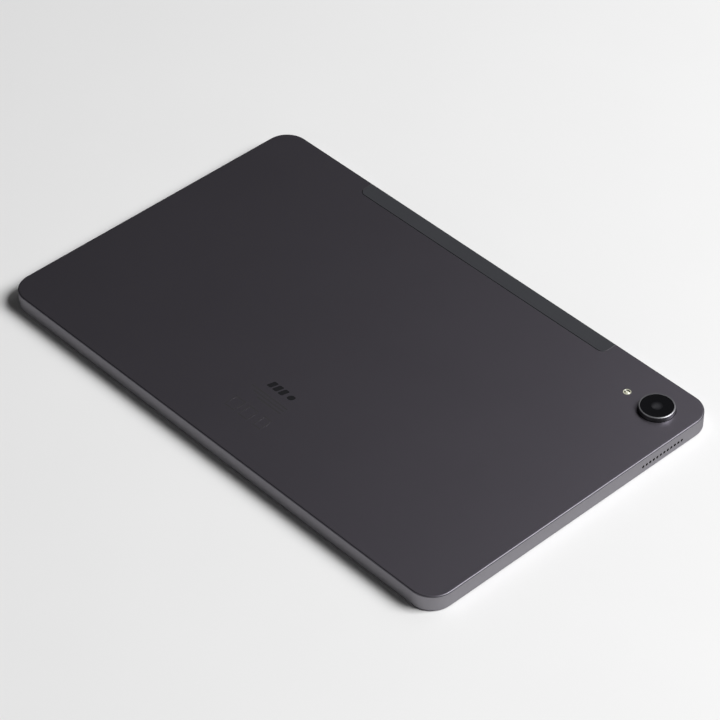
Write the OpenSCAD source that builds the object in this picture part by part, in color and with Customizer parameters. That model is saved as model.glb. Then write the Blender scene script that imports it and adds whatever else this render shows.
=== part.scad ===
// Tablet computer lying on its screen, in millimetres.
// X runs along the long side, Y along the short side, Z out of the back.
// The origin is the centre of the screen glass, on the surface that it rests on.

/* [Body] */
// Length of the body
body_l = 256; // [254:1:262]
// Width of the body
body_w = 160; // [159:1:166]
// Thickness of the body, without the camera
body_t = 8; // [8:0.1:9]
// Radius of the body's corners, seen from the back
corner_r = 10.5; // [9:0.5:13]
// Rounding of the metal's back edge
back_edge_r = 0.6; // [0.4:0.1:0.9]
// Rounding of the metal's front edge
front_edge_r = 0.45; // [0.2:0.05:0.6]
// Thickness of the side walls
wall_t = 1.2; // [1.1:0.1:1.3]
// Thickness of the back wall
back_t = 0.9; // [0.8:0.1:1]

/* [Screen] */
// Thickness of the cover glass
glass_t = 0.7; // [0.55:0.05:0.7]
// Width of the black border between the body's edge and the picture
bezel = 8; // [7:0.5:9]

/* [Antenna window] */
// Length of the plastic strip in the back edge
window_l = 146; // [100:1:150]
// Depth of the strip from the body's edge
window_w = 8; // [7:0.5:9]
// Width of the groove around the strip
window_groove = 0.3; // [0.15:0.01:0.3]

/* [Rear camera] */
// Camera centre from the short edge
camera_from_end = 16.3; // [15:0.1:18]
// Camera centre from the long edge
camera_from_side = 17.15; // [16:0.05:19]
// Outer radius of the camera's tapered ring, at its top
camera_r = 7.5; // [7:0.1:8]
// Height of the ring above the back
camera_h = 2.1; // [1.9:0.1:2.4]
// Focus travel of the lens barrel
focus_travel = 0.3; // [0.1:0.05:0.35]

/* [Flash] */
// Flash centre from the short edge
flash_from_end = 31.8; // [30:0.1:34]
// Flash centre from the long edge
flash_from_side = 18; // [16:0.1:20]
// Radius of the flash lens
flash_r = 1.75; // [1.2:0.05:1.8]

/* [Speakers] */
// Number of holes in each row
speaker_holes = 12; // [8:1:14]
// Distance between the holes
speaker_pitch = 2.055; // [1.8:0.005:2.1]
// Radius of a hole
speaker_hole_r = 0.65; // [0.4:0.05:0.65]
// Centre of the row from the long edge
speaker_from_side = 30.9; // [30:0.1:34]
// Height of the row
speaker_z = 3.6; // [3.55:0.05:3.8]

/* [Buttons, port and tray] */
// Power button centre from the short edge
power_from_end = 20; // [19:0.5:21]
// Length of the power button
power_l = 9.6; // [8:0.1:10]
// Volume rocker centre from the short edge
volume_from_end = 40; // [39:0.5:41]
// Length of the volume rocker
volume_l = 21; // [18:0.5:22]
// Height of the buttons' faces
button_h = 2.2; // [1.8:0.1:2.4]
// How far the buttons stand out
button_out = 0.45; // [0.2:0.05:0.6]
// Height of the port's and the tray's centre line
port_z = 4.4; // [4.4:0.05:4.5]
// Card tray centre along the short edge
tray_y = -28; // [-30:0.5:-26]

/* [Battery] */
// Length of one cell
cell_l = 84; // [70:1:85]
// Width of one cell
cell_w = 124; // [100:1:126]
// Thickness of one cell
cell_t = 2.7; // [2.4:0.1:3]

/* [Hidden] */
$fn = 48;
cut = 0.1;              // how far a cutting shape runs past what it cuts

half_l = body_l / 2;
half_w = body_w / 2;
rim_z = 0.3;            // front edge of the metal
inner_z = body_t - back_t;
frame_inset = wall_t + 0.05;
lip_w = 0.6;            // visible plastic lip around the glass
glass_inset = frame_inset + lip_w + 0.05;
lip_z = 0.12;
ledge_z = 0.85;         // the frame's ledge under the glass
frame_top = 2.6;

// Display stack, from the glass inwards
touch_t = 0.15;
lcd_t = 1;
light_t = 0.9;
lcd_z = glass_t + touch_t;
light_z = lcd_z + lcd_t;
stack_z = light_z + light_t;
lcd_x = half_l - bezel + 1.4;
lcd_y_hi = half_w - bezel + 1.4;
lcd_y_lo = -(half_w - bezel + 3.4);
lcd_ledge = 2.6;        // the cell's ledge for its driver chips
lcd_gap = 0.2;
tray_y0 = lcd_y_lo + lcd_ledge + 0.2;

// Snap hooks that hold the front frame in the metal
hook_l = 6;
hook_out = 0.35;
hook_z = 1.6;
hook_h = 0.6;
long_hooks = [-100, -60, -20, 20, 60, 100];
top_hooks = [-100, 100];
short_hooks = [-50, 0, 50];

// Underside of the antenna window's flange, where the antennas are stuck
window_floor = inner_z - 0.5;

// Boards
board_z = 4.9;          // main board's screen side
board_t = 0.8;
sub_z = 5.2;            // sub board's screen side
main_x0 = half_l - 50;
main_x1 = half_l - 24;
main_x2 = half_l - 4;
main_y0 = -34;
main_y1 = 15;
main_y2 = half_w - 6;
sub_x0 = -(half_l - 3.5);
sub_x1 = -(half_l - 25);
sub_y0 = -46;
sub_y1 = 14;
screw_r = 0.7;
screw_hole_r = 0.75;
boss_r = 1.9;
main_screws = [[main_x0 + 3, main_y0 + 3], [main_x2 - 3, main_y0 + 3], [main_x2 - 3, main_y1 - 3],
    [main_x0 + 3, 18], [main_x1 - 3, main_y2 - 3], [main_x0 + 3, main_y2 - 3]];
sub_screws = [[sub_x1 - 3, sub_y0 + 3], [sub_x1 - 3, sub_y1 - 3]];

// Flexible circuits
flex_t = 0.15;
plug_h = 0.7;           // height of a board connector
flex_z = board_z - plug_h - flex_t;
sub_flex_z = sub_z - plug_h - flex_t;
low_flex_z = 3.05;      // where a flex passes between the battery and the screen

// Camera
camera_x = half_l - camera_from_end;
camera_y = half_w - camera_from_side;
camera_hole_r = camera_r + 0.5;
camera_glass_r = camera_r - 0.55;
camera_glass_t = 0.75;
camera_top = body_t + camera_h;
module_w = 9.5;
module_z = 4;           // sensor board's back face
module_top = 7.6;
barrel_r = 3.2;
focus_room = 0.65;      // left under the glass with the barrel fully out
barrel_top = camera_top - 0.1 - camera_glass_t - focus_travel - focus_room;
flash_x = half_l - flash_from_end;
flash_y = half_w - flash_from_side;

// Front camera, in the border beside the picture
selfie_x = 0;
selfie_y = half_w - 4.25;
selfie_w = 4.3;

// Speakers, described for the +X end and mirrored for the other
box_x0 = half_l - 21.5;
box_x1 = half_l - wall_t - 0.6;
nose_x0 = half_l - 6.4;
box_y0 = half_w - 62;
box_y1 = half_w - 26.9;
nose_y1 = half_w - 18;
box_z = 3.2;
box_top = 6.9;
speaker_y = half_w - speaker_from_side;
cone_x = half_l - 14;
cone_y = (box_y0 + box_y1) / 2;
cone_l = 24;
cone_w = 11;
cone_z = 3.8;

// Buttons
button_z = 4.3;
button_gap = 0.12;
power_x = half_l - power_from_end;
volume_x = half_l - volume_from_end;
button_y = half_w - wall_t;             // inner face of the long wall
key_y = half_w - 3.2;                   // face of the key flex
dome_h = 0.74;                          // height of a dome switch on the key flex
key_gap = 0.3;                          // from a button's nub to its switch
power_flange_gap = 0.05;
volume_flange_gap = 0.38;               // lets the rocker's ends tilt
flange_depth = 0.4;
flange_h = 2.9;
fulcrum_r = 0.5;                        // round rib that the rocker rocks on
fulcrum_y = button_y - volume_flange_gap - flange_depth / 2;
nub_at = 8;                             // volume nubs from the rocker's middle
key_x0 = volume_x - 12;
key_x1 = power_x + 6.5;

// Port
usb_w = 8.94;
usb_h = 3.16;
usb_wall = 0.3;
usb_x0 = -(half_l - 0.15);
usb_depth = 8.2;

// Card tray and its ejector
door_y0 = tray_y - 8.7;
door_y1 = tray_y + 6.7;
door_h = 2.3;
door_t = 1.35;
carrier_w = 11.6;
carrier_l = 17.4;
carrier_t = 0.9;
tray_x0 = -half_l;
carrier_x1 = tray_x0 + door_t + carrier_l;
reader_wall = 0.15;
rod_y = tray_y - 7.3;
rod_w = 0.8;
rod_gap = 0.1;
lever_x = carrier_x1 + 2.85;
lever_r = 0.75;
lever_arm = 3.9;
pivot_y = rod_y + lever_arm;
pivot_r = 0.45;

// Battery
cell_x0 = main_x0 - 6 - 2 * cell_l - 2;
cell_y0 = -(half_w - 12);
cell_z = inner_z - 0.2 - cell_t;

// ---------------------------------------------------------------- shapes

// A rectangle with round corners, centred
module round_rect(l, w, r) {
    square([l - 2 * r, w], center = true);
    square([l, w - 2 * r], center = true);
    for (sx = [-1, 1], sy = [-1, 1])
        translate([sx * (l / 2 - r), sy * (w / 2 - r)]) circle(r);
}

// A slot with round ends along X, centred
module stadium(l, w) {
    square([l - w, w], center = true);
    for (s = [-1, 1]) translate([s * (l - w) / 2, 0]) circle(w / 2);
}

module plate(l, w, r, z0, z1) {
    translate([0, 0, z0]) linear_extrude(z1 - z0) round_rect(l, w, r);
}

module block(x0, x1, y0, y1, z0, z1) {
    translate([x0, y0, z0]) cube([x1 - x0, y1 - y0, z1 - z0]);
}

// Half of the body's cross-section, from a corner's centre outwards
module edge_profile(r, h, top, bottom) {
    square([r - max(top, bottom), h]);
    translate([0, bottom]) square([r, h - top - bottom]);
    translate([r - top, h - top]) circle(top);
    translate([r - bottom, bottom]) circle(bottom);
}

// The body's outer shape: round corners, and rounded edges front and back
module body_blank() {
    h = body_t - rim_z;
    in_l = body_l - 2 * corner_r;
    in_w = body_w - 2 * corner_r;
    translate([0, 0, rim_z]) {
        translate([-in_l / 2, -in_w / 2, 0]) cube([in_l, in_w, h]);
        for (s = [0, 180]) rotate([0, 0, s]) {
            translate([in_l / 2, in_w / 2, 0]) rotate([90, 0, 0]) linear_extrude(in_w)
                edge_profile(corner_r, h, back_edge_r, front_edge_r);
            translate([-in_l / 2, in_w / 2, 0]) rotate([90, 0, 90]) linear_extrude(in_l)
                edge_profile(corner_r, h, back_edge_r, front_edge_r);
        }
        for (c = [[1, 1, 0], [-1, 1, 90], [-1, -1, 180], [1, -1, 270]])
            translate([c[0] * in_l / 2, c[1] * in_w / 2, 0]) rotate([0, 0, c[2]])
                rotate_extrude(angle = 90)
                    edge_profile(corner_r, h, back_edge_r, front_edge_r);
    }
}

// The strip that the antenna window fills, grown by a gap on its inner sides
module window_region(gap) {
    r = 3 + gap;
    l = window_l + 2 * gap;
    y0 = half_w - window_w - gap;
    translate([0, 0, -cut]) linear_extrude(body_t + 2 * cut) {
        translate([-l / 2, y0 + r]) square([l, window_w + gap - r + 1]);
        translate([-l / 2 + r, y0]) square([l - 2 * r, window_w + gap]);
        for (s = [-1, 1]) translate([s * (l / 2 - r), y0 + r]) circle(r);
    }
}

// A flat ribbon that follows [x, z] points, w wide along Y and centred on y
function miter(p, i) =
    let (a = p[max(i - 1, 0)], b = p[i], c = p[min(i + 1, len(p) - 1)],
         u = i == 0 ? (c - b) / norm(c - b) : (b - a) / norm(b - a),
         v = i == len(p) - 1 ? u : (c - b) / norm(c - b),
         n = [-u[1] - v[1], u[0] + v[0]])
    n / (1 + u * v);
module ribbon(points, y, w, t = flex_t) {
    n = len(points);
    side = [for (i = [0 : n - 1]) miter(points, i) * t / 2];
    outline = concat([for (i = [0 : n - 1]) points[i] + side[i]],
                     [for (i = [n - 1 : -1 : 0]) points[i] - side[i]]);
    translate([0, y + w / 2, 0]) rotate([90, 0, 0]) linear_extrude(w) polygon(outline);
}

// A row of n things, pitch apart and centred
module row(n, pitch) {
    for (i = [0 : n - 1]) translate([(i - (n - 1) / 2) * pitch, 0, 0]) children();
}

// ---------------------------------------------------------------- casing

module speaker_hole_row(end) {
    for (i = [0 : speaker_holes - 1])
        translate([end * (half_l - wall_t - cut),
                   speaker_y + (i - (speaker_holes - 1) / 2) * speaker_pitch, speaker_z])
            rotate([0, end * 90, 0]) cylinder(r = speaker_hole_r, h = wall_t + 2 * cut);
}

module button_slot(x, l) {
    translate([x, half_w + cut, button_z]) rotate([90, 0, 0])
        linear_extrude(wall_t + 2 * cut) stadium(l + 2 * button_gap, button_h + 2 * button_gap);
}

module hook_row(at, side, grow, depth) {
    for (x = at)
        block(x - hook_l / 2 - grow, x + hook_l / 2 + grow,
              side > 0 ? half_w - frame_inset - 0.3 : -(half_w - frame_inset) - depth,
              side > 0 ? half_w - frame_inset + depth : -(half_w - frame_inset) + 0.3,
              hook_z - grow, hook_z + hook_h + grow);
}

module end_hooks(grow, depth) {
    for (s = [0, 180], y = short_hooks) rotate([0, 0, s])
        block(half_l - frame_inset - 0.3, half_l - frame_inset + depth,
              y - hook_l / 2 - grow, y + hook_l / 2 + grow, hook_z - grow, hook_z + hook_h + grow);
}

module hooks(grow, depth) {
    hook_row(long_hooks, -1, grow, depth);
    hook_row(top_hooks, 1, grow, depth);
    end_hooks(grow, depth);
}

module boss(at, z) {
    translate([at[0], at[1], z]) difference() {
        cylinder(r = boss_r, h = inner_z - z);
        translate([0, 0, -cut]) cylinder(r = screw_hole_r, h = inner_z - z);
    }
}

module battery_fence() {
    t = 0.8;
    gap = 0.6;
    x0 = cell_x0 - gap - t;
    x1 = cell_x0 + 2 * cell_l + 2 + gap + t;
    y0 = cell_y0 - gap - t;
    y1 = cell_y0 + cell_w + 7;
    difference() {
        block(x0, x1, y0, y1, inner_z - 1.4, inner_z);
        block(x0 + t, x1 - t, y0 + t, y1 - t, inner_z - 1.4 - cut, inner_z + cut);
        for (x = [x0 + 20, 0, x1 - 20])
            block(x - 6, x + 6, y0 - cut, y1 + cut, inner_z - 1.4 - cut, inner_z - 0.5);
    }
}

module rear_cover() {
    color([0.26, 0.25, 0.27]) difference() {
        union() {
            difference() {
                body_blank();
                plate(body_l - 2 * wall_t, body_w - 2 * wall_t, corner_r - wall_t, -cut, inner_z);
            }
            for (p = main_screws) boss(p, board_z + board_t);
            for (p = sub_screws) boss(p, sub_z + board_t);
            battery_fence();
        }
        window_region(window_groove);
        translate([camera_x, camera_y, inner_z - cut]) cylinder(r = camera_hole_r, h = back_t + 2 * cut);
        translate([flash_x, flash_y, inner_z - cut]) cylinder(r = flash_r + 0.05, h = back_t + 2 * cut);
        for (end = [-1, 1]) speaker_hole_row(end);
        button_slot(power_x, power_l);
        button_slot(volume_x, volume_l);
        translate([-half_l - cut, 0, port_z]) rotate([90, 0, 90])
            linear_extrude(wall_t + 2 * cut) stadium(usb_w + 0.16, usb_h + 0.16);
        translate([-half_l - cut, (door_y0 + door_y1) / 2, port_z]) rotate([90, 0, 90])
            linear_extrude(wall_t + 2 * cut) stadium(door_y1 - door_y0 + 0.2, door_h + 0.2);
        translate([-half_l - cut, 10, port_z]) rotate([0, 90, 0])
            cylinder(r = 0.5, h = wall_t + 2 * cut);
        hooks(0.15, hook_out + 0.1);
    }
}

module antenna_window() {
    flange_w = 1.6;
    color([0.25, 0.26, 0.28]) {
        difference() {
            intersection() {
                body_blank();
                window_region(0);
            }
            plate(body_l - 2 * wall_t, body_w - 2 * wall_t, corner_r - wall_t, -cut, inner_z);
        }
        block(-window_l / 2 - flange_w, window_l / 2 + flange_w, half_w - window_w - flange_w,
              half_w - wall_t, window_floor, inner_z);
    }
}

module front_frame() {
    color([0.06, 0.06, 0.065]) difference() {
        union() {
            plate(body_l - 2 * frame_inset, body_w - 2 * frame_inset, corner_r - frame_inset,
                  lip_z, frame_top);
            hooks(0, hook_out);
        }
        plate(body_l - 2 * (frame_inset + lip_w), body_w - 2 * (frame_inset + lip_w),
              corner_r - frame_inset - lip_w, lip_z - cut, ledge_z);
        block(-lcd_x - lcd_gap, lcd_x + lcd_gap, lcd_y_lo - lcd_gap, lcd_y_hi + lcd_gap,
              ledge_z - cut, frame_top + cut);
        block(selfie_x - 2.8, selfie_x + 2.8, lcd_y_hi, selfie_y + selfie_w / 2 + 0.1,
              ledge_z - cut, frame_top + cut);
    }
}

module cover_glass() {
    color([0.02, 0.02, 0.025]) {
        plate(body_l - 2 * glass_inset, body_w - 2 * glass_inset, corner_r - glass_inset, 0.15, glass_t);
        plate(body_l - 2 * glass_inset - 0.3, body_w - 2 * glass_inset - 0.3,
              corner_r - glass_inset - 0.15, 0, 0.15);
    }
}

// ---------------------------------------------------------------- display

module display_adhesive() {
    color([0.1, 0.1, 0.1]) difference() {
        plate(body_l - 2 * glass_inset - 0.8, body_w - 2 * glass_inset - 0.8,
              corner_r - glass_inset - 0.4, glass_t, ledge_z);
        block(-lcd_x - 0.5, lcd_x + 0.5, lcd_y_lo - 0.4, lcd_y_hi + 0.5, glass_t - cut, ledge_z + cut);
        block(selfie_x - 3, selfie_x + 3, lcd_y_hi, half_w - 2, glass_t - cut, ledge_z + cut);
    }
}

module touch_panel() {
    color([0.55, 0.6, 0.62]) block(-lcd_x, lcd_x, lcd_y_lo, lcd_y_hi, glass_t, lcd_z);
}

// Liquid crystal cell, with the driver chip on the ledge at its lower side
module lcd_panel() {
    color([0.1, 0.1, 0.12]) {
        block(-lcd_x, lcd_x, lcd_y_lo, lcd_y_hi, lcd_z, lcd_z + 0.5);
        block(-lcd_x, lcd_x, lcd_y_lo + lcd_ledge, lcd_y_hi, lcd_z + 0.5, light_z);
        for (x = [-60, 60])
            block(x - 15, x + 15, lcd_y_lo + 0.7, lcd_y_lo + 1.9, lcd_z + 0.5, lcd_z + 0.75);
    }
}

module light_guide() {
    color([0.85, 0.9, 0.92]) block(-lcd_x + 0.5, lcd_x - 0.5, tray_y0 + 1.8, lcd_y_hi - 0.5,
        light_z + 0.1, stack_z - 0.25);
}

module backlight_tray() {
    t = 0.2;
    color([0.75, 0.75, 0.77]) difference() {
        block(-lcd_x, lcd_x, tray_y0, lcd_y_hi, light_z, stack_z);
        block(-lcd_x + t, lcd_x - t, tray_y0 + t, lcd_y_hi - t, light_z - cut, stack_z - t);
    }
}

module backlight_leds() {
    n = 40;
    color([0.95, 0.9, 0.6]) {
        block(-lcd_x + 3, lcd_x - 3, tray_y0 + 0.4, tray_y0 + 0.6, light_z + 0.1, stack_z - 0.25);
        translate([0, tray_y0 + 0.6, light_z + 0.15])
            row(n, (2 * lcd_x - 16) / (n - 1)) translate([-1.5, 0, 0]) cube([3, 1, 0.45]);
    }
}

module graphite_sheet() {
    color([0.12, 0.12, 0.13]) block(-95, 110, -55, 60, stack_z, stack_z + 0.1);
}

// Leaves the cell's lower ledge, folds round the tray and runs to the main board
module display_flex() {
    x = main_x0 + 16;
    y0 = lcd_y_lo + 0.4;
    z0 = lcd_z + 0.5;
    color([0.45, 0.3, 0.08]) {
        block(x - 17, x + 17, y0, y0 + 2.2, z0, z0 + flex_t);
        block(x - 17, x + 17, y0, y0 + flex_t, z0, low_flex_z + flex_t);
        block(x - 17, x + 17, y0, y0 + 14, low_flex_z, low_flex_z + flex_t);
        block(x - 6, x + 6, y0 + 14, main_y0 + 2, low_flex_z, low_flex_z + flex_t);
        block(x - 6, x + 6, main_y0 + 2, main_y0 + 2 + flex_t, low_flex_z, flex_z + flex_t);
        block(x - 6, x + 6, main_y0 + 2, main_y0 + 8, flex_z, flex_z + flex_t);
    }
}

// Leaves the touch panel's end beside the picture and runs to the main board
module touch_flex() {
    y = -12;
    x0 = lcd_x + 0.02;
    color([0.42, 0.28, 0.08]) {
        block(x0, x0 + 0.12, y - 5, y + 5, glass_t + 0.02, low_flex_z + 0.1);
        block(main_x2 - 11, x0 + 0.12, y - 5, y + 5, low_flex_z, low_flex_z + 0.1);
        block(main_x2 - 11, main_x2 - 10.85, y - 5, y + 5, low_flex_z, flex_z + flex_t);
        block(main_x2 - 11, main_x2 - 6, y - 5, y + 5, flex_z, flex_z + flex_t);
    }
}

// ---------------------------------------------------------------- battery

// A pouch: the thick body, and the thin sealed seam at the side where the tabs leave
module pouch(x0) {
    color([0.2, 0.2, 0.21]) {
        translate([x0 + cell_l / 2, cell_y0 + cell_w / 2, cell_z]) linear_extrude(cell_t)
            round_rect(cell_l, cell_w, 1.4);
        block(x0 + 3, x0 + cell_l - 3, cell_y0 + cell_w - 0.5, cell_y0 + cell_w + 2.2,
              cell_z + 1.3, cell_z + 1.6);
    }
}
module battery_cell_left() { pouch(cell_x0); }
module battery_cell_right() { pouch(cell_x0 + cell_l + 2); }

module battery_board() {
    y0 = cell_y0 + cell_w + 2.3;
    z0 = cell_z + 0.8;
    color([0.1, 0.25, 0.14]) {
        block(cell_x0 + 8, cell_x0 + 2 * cell_l - 6, y0, y0 + 3.8, z0, z0 + 0.6);
        for (i = [0 : 7])
            block(cell_x0 + 16 + i * 19, cell_x0 + 19 + i * 19, y0 + 0.8, y0 + 3, z0 + 0.6, z0 + 1.5);
    }
}

// From the protection board over the edge of the main board to its connector
module battery_lead() {
    x0 = cell_x0 + 2 * cell_l - 12;
    y = cell_y0 + cell_w + 4.2;
    z0 = cell_z + 0.8 - flex_t / 2;
    color([0.45, 0.3, 0.08])
        ribbon([[x0, z0], [main_x0 - 3, z0], [main_x0 - 1.5, flex_z + flex_t / 2],
                [main_x0 + 9, flex_z + flex_t / 2]], y, 3.4);
}

module battery_tapes() {
    color([0.9, 0.9, 0.85]) for (i = [0, 1], k = [0, 1])
        block(cell_x0 + i * (cell_l + 2) + 10 + k * 44, cell_x0 + i * (cell_l + 2) + 30 + k * 44,
              cell_y0 + 6, cell_y0 + cell_w - 6, cell_z + cell_t, inner_z);
}

// ---------------------------------------------------------------- boards

module main_board() {
    color([0.05, 0.2, 0.16]) difference() {
        translate([0, 0, board_z]) linear_extrude(board_t)
            polygon([[main_x0, main_y0], [main_x2, main_y0], [main_x2, main_y1],
                     [main_x1, main_y1], [main_x1, main_y2], [main_x0, main_y2]]);
        for (p = main_screws)
            translate([p[0], p[1], board_z - cut]) cylinder(r = screw_hole_r + 0.05, h = board_t + 2 * cut);
    }
}

can_x0 = main_x0 + 2.5;
can_x1 = main_x1 - 2.5;
can_y = [-24, 14, 22, 52];
can_top = 3.35;

module shield_can(y0, y1) {
    t = 0.2;
    color([0.72, 0.72, 0.74]) difference() {
        block(can_x0, can_x1, y0, y1, can_top, board_z);
        block(can_x0 + t, can_x1 - t, y0 + t, y1 - t, can_top + t, board_z + cut);
        translate([(can_x0 + can_x1) / 2, (y0 + y1) / 2, can_top - cut])
            for (j = [-3 : 3]) translate([0, j * 3, 0]) row(5, 3) cylinder(r = 0.5, h = t + 2 * cut);
    }
}
module shield_can_processor() { shield_can(can_y[0], can_y[1]); }
module shield_can_radio() { shield_can(can_y[2], can_y[3]); }

module processor_chip() {
    color([0.08, 0.08, 0.085]) block(can_x0 + 3.5, can_x0 + 17.5, -4, 10, board_z - 1.05, board_z);
}

module memory_chips() {
    color([0.1, 0.1, 0.105]) {
        block(can_x0 + 4, can_x0 + 15.5, -21, -8, board_z - 0.95, board_z);
        block(can_x0 + 4, can_x0 + 11, 26, 33, board_z - 0.9, board_z);
        block(can_x0 + 12.5, can_x0 + 18, 38, 43, board_z - 0.8, board_z);
    }
}

// Sockets: display, touch, battery, sub board, front camera, rear camera and keys
plug_at = [[main_x0 + 16, main_y0 + 5, 12, 4], [main_x2 - 8.5, -12, 3.6, 9],
    [main_x0 + 6, cell_y0 + cell_w + 4.2, 5, 3.2], [main_x0 + 14, main_y1 + 3.5, 5, 4],
    [main_x0 + 6.5, main_y2 - 10, 5, 3], [main_x1 - 4, camera_y - 4, 5, 4],
    [main_x1 - 9, main_y2 - 3, 5, 2.6]];

module board_connectors() {
    color([0.12, 0.12, 0.12]) {
        for (p = plug_at) difference() {
            block(p[0] - p[2] / 2, p[0] + p[2] / 2, p[1] - p[3] / 2, p[1] + p[3] / 2,
                  board_z - plug_h, board_z);
            block(p[0] - p[2] / 2 + 0.6, p[0] + p[2] / 2 - 0.6, p[1] - p[3] / 2 + 0.6,
                  p[1] + p[3] / 2 - 0.6, board_z - plug_h - cut, board_z - plug_h + 0.3);
        }
        block(sub_x1 - 6, sub_x1 - 1, -13.5, -6.5, sub_z - plug_h, sub_z);
    }
}

module board_passives() {
    color([0.6, 0.5, 0.38]) {
        for (i = [0 : 11], j = [0, 1])
            translate([main_x0 + 3 + i * 1.9, main_y2 - 18 + j * 1.6, board_z + board_t])
                cube([1, 0.5, 0.4]);
        for (i = [0 : 15], j = [0 : 2])
            translate([main_x0 + 24 + j * 2.4, main_y0 + 8 + i * 2, board_z + board_t])
                cube([1, 0.6, 0.45]);
        for (i = [0 : 8])
            translate([sub_x0 + 4 + i * 1.7, sub_y1 - 6, sub_z - 0.4]) cube([1, 0.5, 0.4]);
    }
}

module sub_board() {
    color([0.05, 0.2, 0.16]) difference() {
        block(sub_x0, sub_x1, sub_y0, sub_y1, sub_z, sub_z + board_t);
        block(sub_x0 - cut, usb_x0 + usb_depth + 0.3, -usb_w / 2 - 0.3, usb_w / 2 + 0.3,
              sub_z - cut, sub_z + board_t + cut);
        for (p = sub_screws)
            translate([p[0], p[1], sub_z - cut]) cylinder(r = screw_hole_r + 0.05, h = board_t + 2 * cut);
        translate([lever_x, pivot_y, sub_z - cut]) cylinder(r = pivot_r, h = board_t + 2 * cut);
    }
}

// Joins the two boards between the battery and the screen
module sub_board_flex() {
    x0 = sub_x1 - 7;
    x1 = main_x0 + 17;
    y = main_y1 + 3.5;
    color([0.45, 0.3, 0.08]) {
        ribbon([[x0, sub_flex_z + flex_t / 2], [sub_x1 + 0.5, sub_flex_z + flex_t / 2],
                [sub_x1 + 2, low_flex_z + flex_t / 2], [sub_x1 + 12, low_flex_z + flex_t / 2]], -10, 7);
        block(sub_x1 + 5, sub_x1 + 12, -13.5, y + 4, low_flex_z, low_flex_z + flex_t);
        ribbon([[sub_x1 + 5, low_flex_z + flex_t / 2], [main_x0 - 4, low_flex_z + flex_t / 2],
                [main_x0 - 1, flex_z + flex_t / 2], [x1, flex_z + flex_t / 2]], y, 4);
    }
}

// ---------------------------------------------------------------- cameras and flash

module at_camera() { translate([camera_x, camera_y, 0]) children(); }

module camera_bezel() {
    flange_z = inner_z - 0.6;
    shelf_z = camera_top - 0.1 - camera_glass_t;
    bore_r = 6.75;
    chamfer = 0.22;
    color([0.05, 0.05, 0.055]) at_camera() rotate_extrude($fn = 96)
        polygon([[bore_r, flange_z], [camera_hole_r + 1.2, flange_z], [camera_hole_r + 1.2, inner_z],
                 [camera_hole_r - 0.05, inner_z], [camera_hole_r - 0.05, body_t + 0.15],
                 [camera_hole_r - 0.15, body_t + 0.25], [camera_r, camera_top - chamfer],
                 [camera_r - chamfer, camera_top],
                 [camera_glass_r + 0.05, camera_top], [camera_glass_r + 0.05, shelf_z],
                 [4.8, shelf_z], [4.8, shelf_z - 0.4], [bore_r, shelf_z - 0.4]]);
}

module camera_glass() {
    color([0.02, 0.02, 0.03]) at_camera()
        translate([0, 0, camera_top - 0.1 - camera_glass_t]) {
            cylinder(r = camera_glass_r, h = camera_glass_t - 0.1, $fn = 96);
            translate([0, 0, camera_glass_t - 0.1])
                cylinder(r1 = camera_glass_r, r2 = camera_glass_r - 0.1, h = 0.1, $fn = 96);
        }
}

// Foam ring between the camera's case and the glass
module camera_gasket() {
    z1 = camera_top - 0.1 - camera_glass_t;
    color([0.15, 0.15, 0.15]) at_camera() translate([0, 0, module_top]) difference() {
        cylinder(r = 4.45, h = z1 - module_top);
        translate([0, 0, -cut]) cylinder(r = 3.7, h = z1 - module_top + 2 * cut);
    }
}

// Sensor board and focus motor's case
module rear_camera_housing() {
    color([0.1, 0.1, 0.11]) at_camera() difference() {
        union() {
            translate([0, 0, module_z - 0.4]) linear_extrude(0.4) round_rect(module_w, module_w, 0.4);
            translate([0, 0, module_z]) linear_extrude(module_top - module_z)
                round_rect(module_w - 0.4, module_w - 0.4, 1);
        }
        translate([0, 0, module_z + 0.8]) cylinder(r = barrel_r + 0.1, h = 5);
    }
}

module rear_camera_barrel() {
    color([0.04, 0.04, 0.045]) at_camera() difference() {
        translate([0, 0, module_z + 0.85]) cylinder(r = barrel_r, h = barrel_top - module_z - 0.85);
        translate([0, 0, barrel_top - 0.6]) cylinder(r1 = 1.3, r2 = 2.3, h = 0.6 + 0.01);
        translate([0, 0, module_z]) cylinder(r = 2.4, h = barrel_top - 0.6 - module_z - 0.4);
        translate([0, 0, barrel_top - 1.2]) cylinder(r = 1.3, h = 0.7);
    }
}

// Front element, a shallow dome in the barrel
module rear_camera_lens() {
    dome_r = 2.2;
    color([0.2, 0.25, 0.35, 0.5]) at_camera() translate([0, 0, barrel_top - 1.15]) {
        cylinder(r = 1.28, h = 0.4);
        translate([0, 0, 0.4 - sqrt(dome_r * dome_r - 1.28 * 1.28)]) intersection() {
            sphere(r = dome_r);
            translate([0, 0, sqrt(dome_r * dome_r - 1.28 * 1.28)]) cylinder(r = 1.28, h = 2);
        }
    }
}

module rear_camera_flex() {
    color([0.45, 0.3, 0.08]) {
        block(main_x1 - 7, camera_x - module_w / 2 + 2, camera_y - 6, camera_y - 2,
              module_z - 0.55, module_z - 0.4);
        block(main_x1 - 7, main_x1 - 6.85, camera_y - 6, camera_y - 2, module_z - 0.55, flex_z + flex_t);
        block(main_x1 - 7, main_x1 - 1.5, camera_y - 6, camera_y - 2, flex_z, flex_z + flex_t);
    }
}

module flash_lens() {
    color([0.9, 0.88, 0.7, 0.6]) translate([flash_x, flash_y, 0]) {
        translate([0, 0, inner_z]) cylinder(r = flash_r, h = back_t - 0.1);
        translate([0, 0, inner_z - 0.35]) cylinder(r = flash_r + 0.6, h = 0.35);
    }
}

module flash_led() {
    z0 = board_z + board_t;
    color([0.95, 0.85, 0.3]) translate([flash_x, flash_y, z0]) {
        translate([-1, -1, 0]) cube([2, 2, 0.4]);
        translate([-0.5, -0.5, 0.4]) cube([1, 1, 0.2]);
    }
}

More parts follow.
